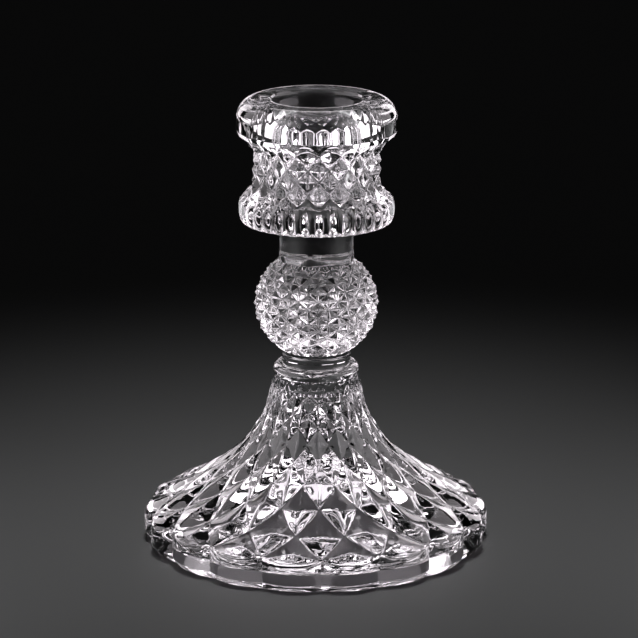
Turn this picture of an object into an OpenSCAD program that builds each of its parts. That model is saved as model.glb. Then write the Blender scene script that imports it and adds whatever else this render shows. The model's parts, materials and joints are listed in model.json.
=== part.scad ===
// Glass candlestick: a scalloped, diamond-pressed foot, a collar, two plain necks, a diamond knop
// and a diamond socket for one taper candle. Millimetres, +Z up, origin at the centre of the base.
// The six glass segments are stacked on one axis and meet at flat, fused faces.

/* [Pattern] */
// Diamonds around the foot, the knop and the socket
diamonds = 18; // [12:2:24]
// Height of a diamond above its grooves, as a share of the radius it stands at
relief = 0.028; // [0.01:0.002:0.05]
// Narrow flutes between the foot's pattern and the collar, and around the socket's girdle
flutes = 36; // [24:12:72]

/* [Foot] */
// Diameter across the scallops
foot_d = 90.6; // [80:0.2:110]
// Depth of the cusps between the scallops
cusp_depth = 1.9; // [1:0.1:3]
// Height of the foot's upright edge
rim_h = 8.8; // [6:0.2:12]
// Height at which the diamonds end below the collar
skirt_top_z = 43; // [40:0.5:48]
// Radius of the foot where it meets the collar
foot_neck_r = 11.2; // [10:0.1:14]
// Diameter of the hollow underside, inside the resting ring
hollow_d = 77; // [70:0.5:80]
// Height of the hollow's steep edge, where the shallow dome starts
hollow_edge_h = 3.8; // [3:0.2:5]
// How far the dome rises, at its even outer slope and by its growing inner slope
hollow_rise = 8; // [6:0.5:9]
hollow_bend = 11.5; // [8:0.5:13]

/* [Collar and necks] */
// Height of the collar's underside
collar_z = 45.4; // [44:0.2:46]
// Height of the collar
collar_h = 2.8; // [2:0.1:4]
// Radius of the neck below the knop
lower_neck_r = 9.05; // [8:0.05:10]
// Radius of the neck above the knop
upper_neck_r = 9.7; // [9:0.05:11]

/* [Knop] */
// Height of the knop's middle
knop_z = 63.9; // [62:0.1:66]
// Radius of the knop
knop_r = 16.2; // [14:0.1:18]
// Half the height that the whole ellipsoid would have
knop_half_h = 14.7; // [14:0.1:16]
// Height where the knop starts
knop_low_z = 51.7; // [51:0.1:53]
// Height where the knop ends
knop_high_z = 75.7; // [74:0.1:77]

/* [Socket] */
// Height of the socket's underside
socket_z = 86; // [84:0.5:88]
// Radius of the girdle and its height
girdle_r = 20.1; // [19:0.1:22]
girdle_h = 5.8; // [5:0.2:7]
// Radius of the waist between the girdle and the rim
waist_r = 16.3; // [15.5:0.1:17.5]
// Radius of the rim
rim_r = 20.6; // [19.5:0.1:22]
// Height of the top of the rim
top_z = 118; // [116:0.5:120]
// Radius of the candle bore
bore_r = 11.4; // [11:0.1:12]
// Depth of the candle bore
bore_depth = 25; // [20:0.5:26]

/* [Hidden] */
$fn = 96;

GLASS = [0.86, 0.88, 0.92, 0.45];
half_step = 180 / diamonds;          // angle from a groove crossing to the next diamond's peak
front = -90;                         // a cusp and a groove crossing face the front
groove_share = 0.45;                 // share of the relief that lies below the drawn profile

lobe_r = foot_d / 2;
cusp_r = lobe_r - cusp_depth;
// One circle per scallop, through two neighbouring cusps and the scallop's outermost point
scallop_centre = (lobe_r * lobe_r - cusp_r * cusp_r) / (2 * (lobe_r - cusp_r * cos(half_step)));
scallop_r = lobe_r - scallop_centre;
stem_r = 10.5;                       // radius that the skirt narrows towards
skirt_fall = 0.058;                  // how fast it narrows at the rim
skirt_bend = 0.0013;                 // and how that grows with the height
skirt_rows = 9;                      // rows of half-diamonds from the rim to the foot's neck
first_row_z = 12.6;
skirt_row_gap = 4.6;                 // height of the rows above the first
skirt_row_shrink = 0.0137;           // how the rows close up towards the collar
hollow_r = hollow_d / 2;
hollow_edge_draft = 0.8;             // how much narrower the steep edge gets upwards
hollow_round = 5;                    // rounding of the dome's top
collar_top_z = collar_z + collar_h;
knop_rows = 12;
knop_low_angle = -50.4;
knop_row_angle = 8.4;
socket_rows = 5;
socket_row_low_z = socket_z + girdle_h + 1.1;
socket_row_gap = 3.14;
rim_low_z = socket_row_low_z + socket_rows * socket_row_gap;
bore_floor_z = top_z - bore_depth;
lip_r = 0.6;                         // rounding where the bore meets the top

// Larger of a and b, with the corner between them rounded
function smooth_max(a, b, rounding) = (a + b + sqrt((a - b) * (a - b) + rounding * rounding)) / 2;

// Profiles: a height or an angle gives a point [radius, height] on the outside of a segment
skirt_profile = function(z)
    let (rise = z - rim_h)
    [stem_r + (cusp_r - stem_r) * exp(-skirt_fall * rise - skirt_bend * rise * rise), z];
knop_profile = function(angle)
    [knop_r * cos(angle), knop_z + knop_half_h * sin(angle)];
socket_profile = function(z)
    let (low_flare = girdle_r - 1.5 - (z - socket_row_low_z),
         high_flare = rim_r - 0.6 - 1.02 * (rim_low_z - z))
    [smooth_max(smooth_max(waist_r, low_flare, 1.2), high_flare, 1.2), z];

// Outward unit normal [radial, up] of a profile
function outward(profile, t) =
    let (step = profile(t + 0.01) - profile(t - 0.01))
    [step[1], -step[0]] / norm(step);

function on_circle(r, i, n) = [r * cos(front + i * 360 / n), r * sin(front + i * 360 / n)];

// A ring of the diamond lattice: groove crossings and peaks alternate, and swap on the next ring
function lattice_ring(profile, t, k) =
    let (p = profile(t), out = outward(profile, t), depth = relief * p[0] + 0.15)
    [for (i = [0 : 2 * diamonds - 1])
        let (d = depth * ((i + k) % 2 == 0 ? -groove_share : 1 - groove_share),
             xy = on_circle(p[0] + d * out[0], i, 2 * diamonds))
        [xy[0], xy[1], p[1] + d * out[1]]];

function plain_ring(r, z) =
    [for (i = [0 : 2 * diamonds - 1]) let (xy = on_circle(r, i, 2 * diamonds)) [xy[0], xy[1], z]];

// Closed solid through rings of points, each square split along the groove that crosses it
module diamond_skin(rings) {
    n = 2 * diamonds;
    last = len(rings) - 1;
    polyhedron(
        points = [for (ring = rings) each ring],
        faces = [
            [for (i = [0 : n - 1]) i],
            for (k = [0 : last - 1]) for (i = [0 : n - 1])
                let (a = k * n + i, b = k * n + (i + 1) % n, c = b + n, d = a + n)
                each (i + k) % 2 == 1 ? [[a, d, c], [a, c, b]] : [[a, d, b], [d, c, b]],
            [for (i = [n - 1 : -1 : 0]) last * n + i]
        ]);
}

// Upright edge of the foot: round scallops, with the upper and lower edges broken
module scalloped_rim() {
    top_break = 2.4;
    low_break = 1.6;
    intersection() {
        linear_extrude(rim_h) {
            circle(scallop_centre + scallop_r / 2);
            for (i = [0 : diamonds - 1])
                rotate(front + (2 * i + 1) * half_step)
                    translate([scallop_centre, 0])
                        circle(scallop_r);
        }
        rotate_extrude()
            polygon([[0, 0], [lobe_r - low_break * 0.6, 0], [lobe_r, low_break],
                     [lobe_r, rim_h - top_break], [lobe_r - top_break * 0.6, rim_h], [0, rim_h]]);
    }
}

// Sloping upper side of the foot, covered with diamonds that shrink towards the collar
module diamond_skirt() {
    row_z = function(k)
        k == 0 ? rim_h + 0.2 : first_row_z + skirt_row_gap * (k - 1) - skirt_row_shrink * pow(k - 1, 3);
    diamond_skin([
        plain_ring(cusp_r - 3, rim_h - 2),
        for (k = [0 : skirt_rows - 1]) lattice_ring(skirt_profile, row_z(k), k),
        plain_ring(foot_neck_r - 0.3, skirt_top_z),
        plain_ring(foot_neck_r - 0.3, collar_z - 0.5)
    ]);
}

// Short fluted band between the diamonds and the collar
module fluted_band() {
    flute_depth = 0.25;
    translate([0, 0, skirt_top_z - 1])
        linear_extrude(collar_z - skirt_top_z + 1)
            polygon([for (i = [0 : 2 * flutes - 1])
                on_circle(foot_neck_r - (i % 2 == 0 ? flute_depth : 0), i, 2 * flutes)]);
}

// Space under the foot: a steep edge inside the resting ring, then a dome that steepens inwards
module foot_hollow() {
    dome_steps = 24;
    dome_r = hollow_r - hollow_edge_draft;
    reach = norm([dome_r, hollow_round]);
    rotate_extrude()
        polygon([
            [0, -1],
            [hollow_r + 0.8, -1],
            [hollow_r + 0.8, 0],
            [hollow_r + 0.2, 0.8],
            [hollow_r - 0.2, hollow_edge_h - 0.6],
            for (i = [0 : dome_steps])
                let (r = dome_r * (1 - i / dome_steps),
                     t = (reach - norm([r, hollow_round])) / reach)
                [r, hollow_edge_h + hollow_rise * t + hollow_bend * t * t]
        ]);
}

module foot() {
    color(GLASS)
        difference() {
            union() {
                scalloped_rim();
                diamond_skirt();
                fluted_band();
            }
            foot_hollow();
        }
}

// Rounded collar that closes the foot and carries the lower neck
module collar() {
    edge_r = collar_h * 0.75;
    color(GLASS)
        rotate_extrude()
            union() {
                translate([0, collar_z])
                    square([foot_neck_r - edge_r, collar_h]);
                translate([0, collar_z])
                    square([foot_neck_r, collar_h - edge_r]);
                translate([foot_neck_r - edge_r, collar_top_z - edge_r])
                    intersection() {
                        circle(edge_r);
                        square(edge_r);
                    }
            }
}

module lower_neck() {
    color(GLASS)
        translate([0, 0, collar_top_z])
            cylinder(r = lower_neck_r, h = knop_low_z - collar_top_z);
}

// Flattened ball covered with small diamonds, cut flat where the necks meet it
module knop() {
    color(GLASS)
        union() {
            diamond_skin([
                plain_ring(lower_neck_r - 0.5, knop_low_z + 0.2),
                for (k = [0 : knop_rows])
                    lattice_ring(knop_profile, knop_low_angle + k * knop_row_angle, k),
                plain_ring(upper_neck_r - 0.7, knop_high_z - 0.1)
            ]);
            translate([0, 0, knop_low_z])
                cylinder(r = lower_neck_r, h = knop_z - knop_low_z);
            translate([0, 0, knop_z])
                cylinder(r = upper_neck_r - 0.2, h = knop_high_z - knop_z);
        }
}

// Plain neck with a very slight waist
module upper_neck() {
    neck_h = socket_z - knop_high_z;
    waist = 0.15;
    waist_arc_r = (neck_h * neck_h / 4 + waist * waist) / (2 * waist);
    color(GLASS)
        rotate_extrude()
            difference() {
                translate([0, knop_high_z])
                    square([upper_neck_r, neck_h]);
                translate([upper_neck_r - waist + waist_arc_r, knop_high_z + neck_h / 2])
                    circle(waist_arc_r, $fn = 720);
            }
}

// Girdle at the foot of the socket: a fluted drum with broken edges
module girdle() {
    flute_depth = 0.35;
    edge = 1.4;
    intersection() {
        translate([0, 0, socket_z])
            linear_extrude(girdle_h)
                polygon([for (i = [0 : 2 * flutes - 1])
                    on_circle(girdle_r - (i % 2 == 0 ? flute_depth : 0), i, 2 * flutes)]);
        rotate_extrude()
            polygon([[0, socket_z], [girdle_r - edge * 0.5, socket_z], [girdle_r + 0.1, socket_z + edge],
                     [girdle_r + 0.1, socket_z + girdle_h], [0, socket_z + girdle_h]]);
    }
}

// Waisted middle of the socket, covered with diamonds
module diamond_waist() {
    diamond_skin([
        plain_ring(girdle_r - 1.4, socket_z + girdle_h - 1),
        for (k = [0 : socket_rows])
            lattice_ring(socket_profile, socket_row_low_z + k * socket_row_gap, k),
        plain_ring(rim_r - 1, rim_low_z + 1.5)
    ]);
}

// Heavy rounded rim around the candle bore
module socket_rim() {
    shoulder_r = 5;
    rotate_extrude()
        union() {
            polygon([[0, rim_low_z], [rim_r - 0.8, rim_low_z], [rim_r, rim_low_z + 1.4],
                     [rim_r, top_z - shoulder_r], [0, top_z - shoulder_r]]);
            translate([0, top_z - shoulder_r])
                square([rim_r - shoulder_r, shoulder_r]);
            translate([rim_r - shoulder_r, top_z - shoulder_r])
                intersection() {
                    circle(shoulder_r);
                    square(shoulder_r);
                }
        }
}

// Space for the candle: a true cylinder whose mouth is slightly opened
module candle_bore() {
    translate([0, 0, bore_floor_z])
        cylinder(r = bore_r, h = bore_depth + 1);
    translate([0, 0, top_z - lip_r])
        rotate_extrude()
            polygon([[0, 0], [bore_r, 0], [bore_r + lip_r, lip_r],
                     [bore_r + lip_r, lip_r + 1], [0, lip_r + 1]]);
}

module socket() {
    color(GLASS)
        difference() {
            union() {
                girdle();
                diamond_waist();
                socket_rim();
            }
            candle_bore();
        }
}

foot();
collar();
lower_neck();
knop();
upper_neck();
socket();
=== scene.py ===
import json
import math

import bpy
import numpy as np
from mathutils import Matrix, Vector


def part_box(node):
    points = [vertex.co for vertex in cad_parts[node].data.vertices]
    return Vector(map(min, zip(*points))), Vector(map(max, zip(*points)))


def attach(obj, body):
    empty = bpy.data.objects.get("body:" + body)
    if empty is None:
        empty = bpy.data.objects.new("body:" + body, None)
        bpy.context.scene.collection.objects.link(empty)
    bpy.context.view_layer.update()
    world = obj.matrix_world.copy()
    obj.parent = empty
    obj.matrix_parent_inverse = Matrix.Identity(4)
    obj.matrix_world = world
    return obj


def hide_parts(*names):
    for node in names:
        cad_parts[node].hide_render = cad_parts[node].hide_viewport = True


MM = 0.001

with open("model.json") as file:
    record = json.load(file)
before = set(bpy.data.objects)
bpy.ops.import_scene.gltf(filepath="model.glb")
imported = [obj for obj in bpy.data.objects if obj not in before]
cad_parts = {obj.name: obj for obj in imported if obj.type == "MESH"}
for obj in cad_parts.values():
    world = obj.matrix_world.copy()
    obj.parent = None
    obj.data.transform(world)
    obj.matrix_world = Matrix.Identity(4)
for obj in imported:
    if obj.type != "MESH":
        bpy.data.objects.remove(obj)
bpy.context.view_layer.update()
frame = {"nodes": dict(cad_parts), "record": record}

# ---------------------------------------------------------------- sizes, in millimetres
# What the frame gives
LOW, HIGH = {}, {}
for node_name in frame["nodes"]:
    low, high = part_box(node_name)
    LOW[node_name], HIGH[node_name] = low / MM, high / MM

TOP_Z = HIGH["socket"].z
SOCKET_Z = LOW["socket"].z
KNOP_LOW_Z, KNOP_HIGH_Z = LOW["knop"].z, HIGH["knop"].z
COLLAR_Z, COLLAR_TOP_Z = LOW["collar"].z, HIGH["collar"].z
LOWER_NECK_R = HIGH["lower_neck"].x
UPPER_NECK_R = HIGH["upper_neck"].x
LOBE_R = HIGH["foot"].x
COLLAR_R = HIGH["collar"].x
bore = next(m for m in frame["record"]["mounts"] if m["name"] == "candle_bore")
BORE_R = bore["dims"]["r_mm"]

# What the design fixes
DIAMONDS = 18                      # around the foot, the knop and the socket
HALF_STEP = math.pi / DIAMONDS     # angle from a groove crossing to the next peak
WHOLE_TURN = 2 * DIAMONDS          # half-steps in a whole turn
FRONT = -math.pi / 2               # a groove crossing faces the front
CUSP_R = LOBE_R - 1.9              # where two scallops meet
RIM_H = 8.8                        # top of the foot's upright edge

# How finely the meshes are made
PATCH = 14                         # squares along the side of one diamond
FLUTE_STEPS = 20                   # squares across one flute of the girdle
PLAIN_STEPS = 192                  # squares around a plain segment


# ---------------------------------------------------------------- the diamond surface
def smooth_max(a, b, rounding):
    return (a + b + np.sqrt((a - b) ** 2 + rounding ** 2)) / 2


def smooth_min(a, b, rounding):
    return -smooth_max(-a, -b, rounding)


def knots(count, evenness=0.35):
    """count + 1 places from 0 to 1, closer together at both ends, where the grooves are."""
    even = np.linspace(0, 1, count + 1)
    eased = (1 - np.cos(np.pi * even)) / 2
    return evenness * even + (1 - evenness) * eased


def diamond_height(turn, row, groove_round=0.03, ridge_round=0.05, dome=0.6):
    """Height over the grooves, 0 to 1, at turn half-steps from the front and row rows up.

    Two families of grooves cross wherever turn + row is an even whole number. The sides of each
    diamond rise from the grooves, steep at first, and meet in ridges along its two diagonals.
    """
    across = (turn + row) / 2
    along = (row - turn) / 2
    a = 2 * np.abs(across - np.round(across))
    b = 2 * np.abs(along - np.round(along))
    a = np.sqrt(a * a + groove_round ** 2) - groove_round
    b = np.sqrt(b * b + groove_round ** 2) - groove_round
    side = np.maximum(smooth_min(a, b, ridge_round), 0)
    return (1 - dome) * side + dome * (1 - (1 - np.minimum(side, 1)) ** 2)


def stand_off(r, height, cut, depth=1.0):
    """How far a pattern of this height stands off a profile of radius r.

    Larger diamonds are deeper. cut is the share of the depth that lies inside the profile.
    """
    return depth * (0.028 * r + 0.15) * (height - cut)


def raised(profile, row, lift, step=0.01):
    """Points (r, z) of a profile at row, moved out along its normal by lift."""
    r, z = profile(row)
    r1, z1 = profile(row + step)
    r0, z0 = profile(row - step)
    length = np.hypot(r1 - r0, z1 - z0)
    return r + lift * (z1 - z0) / length, z - lift * (r1 - r0) / length


def revolved(turn, r, z):
    angle = FRONT + turn * HALF_STEP
    return np.stack([r * np.cos(angle), r * np.sin(angle), z], axis=1)


def arc(centre_r, centre_z, radius, from_deg, to_deg, steps):
    """Points (r, z) on a round edge; 0 degrees points outwards and 90 up."""
    a = np.radians(np.linspace(from_deg, to_deg, steps + 1))
    return [(centre_r + radius * math.cos(x), centre_z + radius * math.sin(x)) for x in a]


class Skin:
    """The points and faces of one closed glass segment, in millimetres."""

    def __init__(self):
        self.points = []
        self.faces = []
        self.fused = []            # True for a face where the segment is fused to its neighbour

    def add_points(self, xyz):
        start = len(self.points)
        self.points.extend(map(tuple, xyz))
        return list(range(start, len(self.points)))

    def add_face(self, corners, fused=False):
        self.faces.append(tuple(corners))
        self.fused.append(fused)

    def ring(self, turns, r, z):
        """A ring of points at these turns; r and z are numbers or one value per turn."""
        r = np.broadcast_to(r, turns.shape)
        z = np.broadcast_to(z, turns.shape)
        return self.add_points(revolved(turns, r, z))

    def bridge(self, low, high):
        """Squares between two rings; low comes first going up the outside of the segment."""
        n = len(low)
        for i in range(n):
            j = (i + 1) % n
            self.add_face((low[i], low[j], high[j], high[i]))

    def stitch(self, low, low_turns, high, high_turns):
        """Triangles between two rings with different turns; both start at the front."""
        i = j = 0
        while i < len(low) or j < len(high):
            next_low = low_turns[i + 1] if i + 1 < len(low) else WHOLE_TURN + i + 1 - len(low)
            next_high = high_turns[j + 1] if j + 1 < len(high) else WHOLE_TURN + j + 1 - len(high)
            a, b = low[i % len(low)], high[j % len(high)]
            if j == len(high) or (i < len(low) and next_low <= next_high):
                self.add_face((a, low[(i + 1) % len(low)], b))
                i += 1
            else:
                self.add_face((a, high[(j + 1) % len(high)], b))
                j += 1

    def lathe(self, start, turns, outline, going_up=True):
        """Rings through outline, a list of (radius, height), carried on from the ring start.

        An outline goes up the outside and on into the bore, or down the outside and on into the
        hollow underside.
        """
        last = start
        for r, z in outline:
            ring = self.ring(turns, r, z)
            if going_up:
                self.bridge(last, ring)
            else:
                self.bridge(ring, last)
            last = ring
        return last

    def cap(self, ring, facing_up, fused=False):
        self.add_face(ring if facing_up else ring[::-1], fused)

    def lattice(self, rows, surface):
        """Diamonds up to the row rows; surface(turn, row) gives their points.

        Returns the lowest and the highest ring, each with its turns.
        """
        scale = 1e4                # points with the same turn and row at this scale are one point
        slack = 1e-6               # for a point that lies on the lowest or the highest row
        s = knots(PATCH)
        u, v = np.meshgrid(s, s, indexing="ij")
        quads = []
        for centre_row in range(rows + 1):
            for centre_turn in range((centre_row + 1) % 2, WHOLE_TURN, 2):
                turn = centre_turn + u - v
                row = centre_row + u + v - 1
                turn_key = np.round(turn * scale) % (WHOLE_TURN * scale)
                key = np.stack([turn_key, np.round(row * scale)], axis=-1).astype(int)
                for i in range(PATCH):
                    for j in range(PATCH):
                        corners = [(i, j), (i + 1, j), (i + 1, j + 1), (i, j + 1)]
                        kept = [c for c in corners if -slack <= row[c] <= rows + slack]
                        if len(kept) >= 3:
                            quads.append([tuple(key[c]) for c in kept])
        index = {}
        for quad in quads:
            for k in quad:
                index.setdefault(k, len(index))
        order = np.array(list(index), float) / scale
        first = len(self.points)
        self.add_points(surface(order[:, 0], order[:, 1]))
        for quad in quads:
            self.add_face([first + index[k] for k in quad])
        ends = []
        for level in (0, rows):
            on_level = sorted(
                (k[0] / scale, first + n) for k, n in index.items() if k[1] == level * scale)
            ends.append(([n for _, n in on_level], np.array([t for t, _ in on_level])))
        return ends

    def build(self, name, glass, bond):
        mesh = bpy.data.meshes.new(name)
        mesh.from_pydata([tuple(c * MM for c in p) for p in self.points], [], self.faces)
        mesh.materials.append(glass)
        mesh.materials.append(bond)
        mesh.polygons.foreach_set("material_index", [int(f) for f in self.fused])
        mesh.polygons.foreach_set("use_smooth", [not f for f in self.fused])
        mesh.set_sharp_from_angle(angle=math.radians(24))
        mesh.validate()
        mesh.update()
        piece = bpy.data.objects.new(name, mesh)
        bpy.context.scene.collection.objects.link(piece)
        return piece


# ---------------------------------------------------------------- the six segments
def scallop(turn):
    """How far out the scalloped edge stands, 0 at a cusp and 1 in the middle of a lobe."""
    centre = (LOBE_R ** 2 - CUSP_R ** 2) / (2 * (LOBE_R - CUSP_R * math.cos(HALF_STEP)))
    radius = LOBE_R - centre
    off = (np.mod(turn, 2) - 1) * HALF_STEP
    r = centre * np.cos(off) + np.sqrt(radius ** 2 - (centre * np.sin(off)) ** 2)
    return (r - CUSP_R) / (LOBE_R - CUSP_R)


def foot_edge(turns, top_share):
    """The upright scalloped edge, from the pattern down to the resting ring.

    top_share is the share of the scallops' depth that is already there at the top.
    """
    depth = LOBE_R - CUSP_R
    bump = scallop(turns)
    top_break, low_break = 2.8, 2.4    # heights of the rounded breaks above and below the wall
    low_share = 0.45                   # share of the scallops' depth left on the resting ring
    low_inset = 1.2                    # how much further in the resting ring lies
    outline = []
    for t in np.linspace(0.12, 1, 9):
        share = top_share + (1 - top_share) * math.sqrt(1 - (1 - t) ** 2)
        outline.append((CUSP_R + share * depth * bump, RIM_H - top_break * t))
    for t in np.linspace(0, 1, 10):
        share = 1 - t ** 1.5
        bump_share = low_share + (1 - low_share) * share
        r = CUSP_R - low_inset * (1 - share) + bump_share * depth * bump
        outline.append((r, low_break * (1 - t)))
    return outline


def foot_hollow():
    """The hollow underside: a steep edge, then a dome that steepens inwards."""
    hollow_r, step_h = 38.5, 3.8
    dome_rise, dome_bend, dome_round = 8.0, 11.5, 5.0
    outline = [(hollow_r + 1.2, 0.0), (hollow_r + 0.7, 0.1), (hollow_r + 0.4, 0.4),
               (hollow_r + 0.2, 1.0), (hollow_r - 0.1, step_h - 0.8),
               (hollow_r - 0.35, step_h - 0.2), (hollow_r - 0.8, step_h)]
    dome_r = hollow_r - 0.8
    reach = math.hypot(dome_r, dome_round)
    for share in np.linspace(0.98, 0.01, 44):
        r = dome_r * share
        t = (reach - math.hypot(r, dome_round)) / reach
        outline.append((r, step_h + dome_rise * t + dome_bend * t ** 2))
    return outline


def make_foot(glass, bond):
    rows = 9
    first_row_z, row_gap, row_shrink = 12.6, 4.6, 0.0137
    stem_r, skirt_fall, skirt_bend = 10.5, 0.058, 0.0013
    top_share = 0.25

    def row_z(row):
        above = np.maximum(row - 1, 0)
        lowest = RIM_H + (first_row_z - RIM_H) * np.minimum(row, 1)
        return lowest + row_gap * above - row_shrink * above ** 3

    def profile(row):
        z = row_z(row)
        rise = z - RIM_H
        return stem_r + (CUSP_R - stem_r) * np.exp(-skirt_fall * rise - skirt_bend * rise ** 2), z

    def surface(turn, row):
        r, _ = profile(row)
        near_edge = np.clip(1 - row, 0, 1)
        lift = stand_off(r, diamond_height(turn, row), cut=0.45) * (1 - 0.6 * near_edge)
        r, z = raised(profile, row, lift)
        r = r + top_share * (LOBE_R - CUSP_R) * scallop(turn) * near_edge
        z = np.where(row < 1e-6, RIM_H, z)
        return revolved(turn, r, z)

    skin = Skin()
    (low, low_turns), (high, high_turns) = skin.lattice(rows, surface)
    underside = foot_edge(low_turns, top_share) + foot_hollow()
    last = skin.lathe(low, low_turns, underside, going_up=False)
    skin.cap(last, facing_up=False)

    # fluted band up to the collar: distance outside the collar, height, depth of the flutes
    band = [(0.15, 41.4, 0.3), (-0.1, 42.4, 0.8), (-0.1, 43.2, 1.0),
            (-0.1, 44.8, 1.0), (-0.1, 45.2, 0.5), (0, COLLAR_Z, 0)]
    flute = (np.cos(high_turns * math.pi) - 1) * 0.12
    outline = [(COLLAR_R + outside + depth * flute, z) for outside, z, depth in band]
    last = skin.lathe(high, high_turns, outline)
    skin.cap(last, facing_up=True, fused=True)
    return skin.build("glass_foot", glass, bond)


def make_plain(name, outline, glass, bond):
    """A plain round segment, fused to its neighbours at both ends."""
    skin = Skin()
    turns = np.arange(PLAIN_STEPS) * WHOLE_TURN / PLAIN_STEPS
    first = skin.ring(turns, *outline[0])
    last = skin.lathe(first, turns, outline[1:])
    skin.cap(first, facing_up=False, fused=True)
    skin.cap(last, facing_up=True, fused=True)
    return skin.build(name, glass, bond)


def make_collar(glass, bond):
    edge = (COLLAR_TOP_Z - COLLAR_Z) * 0.75
    outline = [(COLLAR_R, COLLAR_Z), (COLLAR_R, COLLAR_TOP_Z - edge)]
    outline += arc(COLLAR_R - edge, COLLAR_TOP_Z - edge, edge, 8, 90, 10)
    outline += [(LOWER_NECK_R + 0.02, COLLAR_TOP_Z)]
    return make_plain("glass_collar", outline, glass, bond)


def make_lower_neck(glass, bond):
    outline = [(LOWER_NECK_R, COLLAR_TOP_Z), (LOWER_NECK_R - 0.12, COLLAR_TOP_Z + 0.6),
               (LOWER_NECK_R - 0.15, KNOP_LOW_Z - 0.8), (LOWER_NECK_R, KNOP_LOW_Z)]
    return make_plain("glass_lower_neck", outline, glass, bond)


def make_knop(glass, bond):
    rows = 12
    low_angle, row_angle = -50.4, 8.4                      # degrees above the middle
    radius, half_height, middle_z = 16.2, 14.7, 63.9

    def profile(row):
        angle = np.radians(low_angle + row_angle * row)
        return radius * np.cos(angle), middle_z + half_height * np.sin(angle)

    def surface(turn, row):
        r, _ = profile(row)
        height = diamond_height(turn, row, groove_round=0.04, ridge_round=0.08, dome=0.15)
        from_end = np.clip(np.minimum(row, rows - row), 0, 1)
        lift = stand_off(r, height, cut=0.85, depth=2.0) * (0.4 + 0.6 * from_end)
        return revolved(turn, *raised(profile, row, lift))

    skin = Skin()
    (low, low_turns), (high, high_turns) = skin.lattice(rows, surface)
    first = skin.ring(low_turns, LOWER_NECK_R, KNOP_LOW_Z)
    skin.bridge(first, low)
    last = skin.ring(high_turns, UPPER_NECK_R - 0.05, KNOP_HIGH_Z)
    skin.bridge(high, last)
    skin.cap(first, facing_up=False, fused=True)
    skin.cap(last, facing_up=True, fused=True)
    return skin.build("glass_knop", glass, bond)


def make_upper_neck(glass, bond):
    waist = 0.15                       # how much narrower the neck is in the middle
    outline = [(UPPER_NECK_R - 4 * waist * t * (1 - t), KNOP_HIGH_Z + t * (SOCKET_Z - KNOP_HIGH_Z))
               for t in np.linspace(0, 1, 13)]
    return make_plain("glass_upper_neck", outline, glass, bond)


def make_socket(glass, bond):
    rows, row_gap = 5, 3.14
    girdle_r, girdle_h = 20.1, 5.8
    waist_r, waist_round = 16.3, 1.2
    rim_r, shoulder = HIGH["socket"].x, 5.0
    bore_depth, floor_round = 25.0, 1.2
    low_z = SOCKET_Z + girdle_h + 1.1
    rim_z = low_z + rows * row_gap

    def profile(row):
        z = low_z + row * row_gap
        low_flare = girdle_r - 1.5 - (z - low_z)
        high_flare = rim_r - 0.6 - 1.02 * (rim_z - z)
        return smooth_max(smooth_max(waist_r, low_flare, waist_round), high_flare, waist_round), z

    def surface(turn, row):
        r, _ = profile(row)
        height = diamond_height(turn, row, groove_round=0.08, ridge_round=0.1, dome=0.0)
        from_rim = np.clip(rows - row, 0, 1)
        lift = stand_off(r, height, cut=0.75, depth=2.2) * (0.3 + 0.7 * from_rim)
        r, z = raised(profile, row, lift)
        z = np.where(row > rows - 1e-6, rim_z, z)
        z = np.where(row < 1e-6, low_z, z)
        return revolved(turn, r, z)

    skin = Skin()
    (low, low_turns), (high, high_turns) = skin.lattice(rows, surface)

    # girdle, down from the pattern to the flat underside, with one upright flute to a half-step:
    # distance inside the girdle's radius, height above the underside, depth of the flutes
    girdle = [(0.6, girdle_h, 0.8), (0.3, 5.4, 1.3), (0.1, 4.9, 1.6), (0.02, 4.3, 1.8),
              (0, 3.5, 1.8), (0.02, 2.6, 1.8), (0.1, 1.9, 1.6), (0.25, 1.2, 1.2),
              (0.45, 0.6, 0.8), (0.7, 0.2, 0.4), (1.0, 0, 0)]
    flute_turns = np.arange(WHOLE_TURN * FLUTE_STEPS) / FLUTE_STEPS
    flute = np.sqrt(np.sin(flute_turns * math.pi) ** 2 + 0.01) - 1
    outline = [(girdle_r - inside + depth * flute, SOCKET_Z + rise)
               for inside, rise, depth in girdle]
    outline += [(UPPER_NECK_R, SOCKET_Z)]
    first = skin.ring(flute_turns, *outline[0])
    skin.stitch(first, flute_turns, low, low_turns)
    last = skin.lathe(first, flute_turns, outline[1:], going_up=False)
    skin.cap(last, facing_up=False, fused=True)

    # rim, lip and bore; the lip is given by distance outside the bore and depth below the top
    lip = [(2.2, 0), (1.2, 0.05), (0.6, 0.2), (0.2, 0.6), (0, 1.2)]
    floor_z = TOP_Z - bore_depth
    outline = [(rim_r - 0.15, rim_z + 0.9), (rim_r, rim_z + 1.5), (rim_r, TOP_Z - shoulder)]
    outline += arc(rim_r - shoulder, TOP_Z - shoulder, shoulder, 6, 90, 16)
    outline += [(BORE_R + outside, TOP_Z - down) for outside, down in lip]
    outline += [(BORE_R, z) for z in np.linspace(TOP_Z - 3, floor_z + floor_round, 8)]
    outline += arc(BORE_R - floor_round, floor_z + floor_round, floor_round, 0, -90, 6)[1:]
    last = skin.lathe(high, high_turns, outline)
    skin.cap(last, facing_up=True)
    return skin.build("glass_socket", glass, bond)


# ---------------------------------------------------------------- materials
def new_material(name):
    material = bpy.data.materials.new(name)
    material.use_nodes = True
    nodes, links = material.node_tree.nodes, material.node_tree.links
    nodes.clear()
    out = nodes.new("ShaderNodeOutputMaterial")
    return material, nodes, links, out


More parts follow.
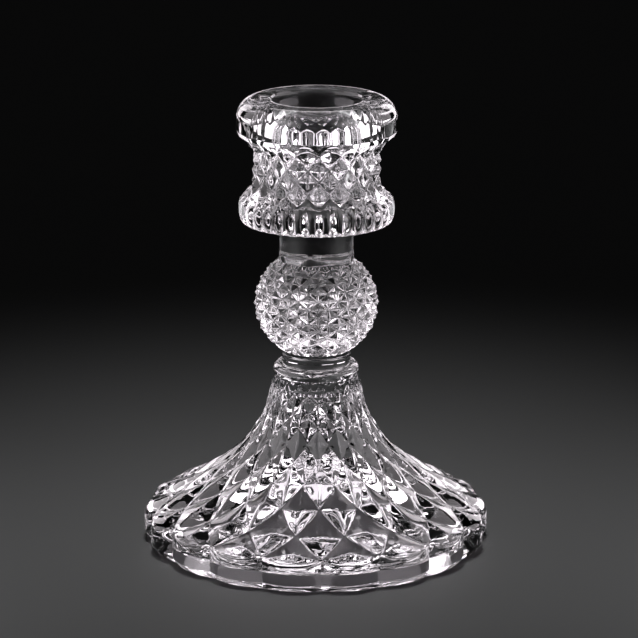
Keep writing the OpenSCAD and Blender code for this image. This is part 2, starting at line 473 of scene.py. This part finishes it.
def glass_material():
    """Fire-polished pressed glass: all but colourless, with faint ripples left by the mould."""
    material, nodes, links, out = new_material("clear_glass")
    shader = nodes.new("ShaderNodeBsdfPrincipled")
    shader.inputs["Base Color"].default_value = (0.99, 0.985, 1.0, 1.0)
    shader.inputs["Roughness"].default_value = 0.0
    shader.inputs["IOR"].default_value = 1.5
    shader.inputs["Transmission Weight"].default_value = 1.0
    place = nodes.new("ShaderNodeTexCoord")
    ripples = nodes.new("ShaderNodeTexNoise")
    ripples.inputs["Scale"].default_value = 260.0
    ripples.inputs["Detail"].default_value = 2.0
    bump = nodes.new("ShaderNodeBump")
    bump.inputs["Strength"].default_value = 0.25
    bump.inputs["Distance"].default_value = 0.0001
    links.new(place.outputs["Object"], ripples.inputs["Vector"])
    links.new(ripples.outputs["Fac"], bump.inputs["Height"])
    links.new(bump.outputs["Normal"], shader.inputs["Normal"])
    links.new(shader.outputs["BSDF"], out.inputs["Surface"])
    return material


def fused_material():
    """A face inside the glass, where two segments are fused: nothing bends or reflects there."""
    material, nodes, links, out = new_material("fused_joint")
    clear = nodes.new("ShaderNodeBsdfTransparent")
    links.new(clear.outputs["BSDF"], out.inputs["Surface"])
    return material


def floor_material():
    material, nodes, links, out = new_material("pale_floor")
    shader = nodes.new("ShaderNodeBsdfPrincipled")
    shader.inputs["Roughness"].default_value = 0.6
    place = nodes.new("ShaderNodeTexCoord")
    mottle = nodes.new("ShaderNodeTexNoise")
    mottle.inputs["Scale"].default_value = 9.0
    tone = nodes.new("ShaderNodeValToRGB")
    tone.color_ramp.elements[0].color = (0.60, 0.60, 0.61, 1)
    tone.color_ramp.elements[1].color = (0.64, 0.64, 0.65, 1)
    links.new(place.outputs["Object"], mottle.inputs["Vector"])
    links.new(mottle.outputs["Fac"], tone.inputs["Fac"])
    links.new(tone.outputs["Color"], shader.inputs["Base Color"])
    links.new(shader.outputs["BSDF"], out.inputs["Surface"])
    return material


# ---------------------------------------------------------------- studio
SOFTBOX_COLOUR = (1.0, 0.93, 0.98)
SURROUNDINGS = (0.004, 0.004, 0.004, 1)    # nearly black

# name, azimuth and elevation in degrees, distance, width and height in metres, radiance
SOFTBOXES = [
    ("left_softbox", -90, 22, 0.55, 0.9, 0.8, 1.8),
    ("right_softbox", 90, 22, 0.55, 0.9, 0.8, 1.8),
    ("back_left_softbox", -150, 15, 0.8, 0.2, 0.5, 3.6),
    ("back_right_softbox", 150, 15, 0.8, 0.2, 0.5, 3.6),
    ("back_softbox", 180, 4.5, 0.8, 0.5, 0.13, 1.4),
    ("top_softbox", 180, 45, 0.8, 0.3, 0.2, 2.4),
    ("front_left_softbox", -40, 35, 0.9, 0.35, 0.35, 2.0),
    ("front_right_softbox", 40, 35, 0.9, 0.35, 0.35, 2.0),
]

# name, x, y, height and radius of the pool in metres, energy in watts
FLOOR_LIGHTS = [
    ("floor_light", 0, 0, 0.9, 0.17, 5.0),
    ("left_floor_light", -0.42, -0.12, 0.6, 0.30, 24.0),
    ("right_floor_light", 0.42, -0.12, 0.6, 0.30, 24.0),
]


def make_camera():
    """A long lens, a little above the socket, 1.85 degrees round from the front cusp."""
    offset, distance, height = 0.7, 765.0, 276.0
    pitch, swing, roll = 0.276, math.radians(1.85), 0.003
    data = bpy.data.cameras.new("camera")
    data.lens = 172.6
    data.sensor_width = 36.0
    data.clip_start = 0.05
    camera = bpy.data.objects.new("camera", data)
    camera.matrix_world = (
        Matrix.Rotation(-swing, 4, "Z")
        @ Matrix.Translation(Vector((offset, -distance, height)) * MM)
        @ Matrix.Rotation(math.pi / 2 - pitch, 4, "X")
        @ Matrix.Rotation(roll, 4, "Z")
    )
    bpy.context.scene.collection.objects.link(camera)
    bpy.context.scene.camera = camera


def light_only(light, lit_objects):
    """Limit a light to these objects."""
    receivers = bpy.data.collections.new(light.name + "_receivers")
    for lit_object in lit_objects:
        receivers.objects.link(lit_object)
    light.light_linking.receiver_collection = receivers


def make_softbox(name, azimuth, elevation, distance, width, height, radiance, pieces):
    """An area light that faces the candlestick. Azimuth 0 is the camera's side and 90 the right."""
    a, e = math.radians(azimuth), math.radians(elevation)
    data = bpy.data.lights.new(name, "AREA")
    data.shape = "RECTANGLE"
    data.size, data.size_y = width, height
    data.energy = radiance * math.pi * width * height
    data.color = SOFTBOX_COLOUR
    light = bpy.data.objects.new(name, data)
    target = Vector((0, 0, TOP_Z / 2 * MM))
    away = Vector((math.sin(a) * math.cos(e), -math.cos(a) * math.cos(e), math.sin(e)))
    light.location = target + away * distance
    light.rotation_euler = away.to_track_quat("Z", "Y").to_euler()
    light.visible_camera = False
    bpy.context.scene.collection.objects.link(light)
    light_only(light, pieces)


def make_floor_light(name, x, y, height, radius_at_floor, energy, floor):
    """A soft-edged pool of light on the floor."""
    data = bpy.data.lights.new(name, "SPOT")
    data.energy = energy
    data.spot_size = 2 * math.atan(radius_at_floor / height)
    data.spot_blend = 1.0
    data.shadow_soft_size = 0.12
    light = bpy.data.objects.new(name, data)
    light.location = (x, y, height)
    bpy.context.scene.collection.objects.link(light)
    light_only(light, [floor])


def make_floor():
    """A round floor, a hair below the foot's resting ring."""
    radius, z, corners = 0.95, -0.0002, 128
    angles = np.linspace(0, 2 * math.pi, corners, endpoint=False)
    points = [(radius * math.cos(t), radius * math.sin(t), z) for t in angles]
    mesh = bpy.data.meshes.new("floor")
    mesh.from_pydata(points, [], [tuple(range(corners))])
    mesh.materials.append(floor_material())
    floor = bpy.data.objects.new("floor", mesh)
    bpy.context.scene.collection.objects.link(floor)
    return floor


def make_world():
    world = bpy.data.worlds.new("studio")
    world.use_nodes = True
    world.node_tree.nodes["Background"].inputs["Color"].default_value = SURROUNDINGS
    bpy.context.scene.world = world


# ---------------------------------------------------------------- the scene
glass = glass_material()
bond = fused_material()
makers = {
    "foot": make_foot,
    "collar": make_collar,
    "lower_neck": make_lower_neck,
    "knop": make_knop,
    "upper_neck": make_upper_neck,
    "socket": make_socket,
}
pieces = []
for node_name, make in makers.items():
    piece = make(glass, bond)
    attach(piece, "root")
    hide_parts(node_name)
    pieces.append(piece)

bpy.context.scene.view_settings.view_transform = "Standard"
bpy.context.scene.cycles.caustics_refractive = False
bpy.context.scene.cycles.caustics_reflective = False
make_camera()
floor = make_floor()
make_world()
for softbox in SOFTBOXES:
    make_softbox(*softbox, pieces)
for floor_light in FLOOR_LIGHTS:
    make_floor_light(*floor_light, floor)
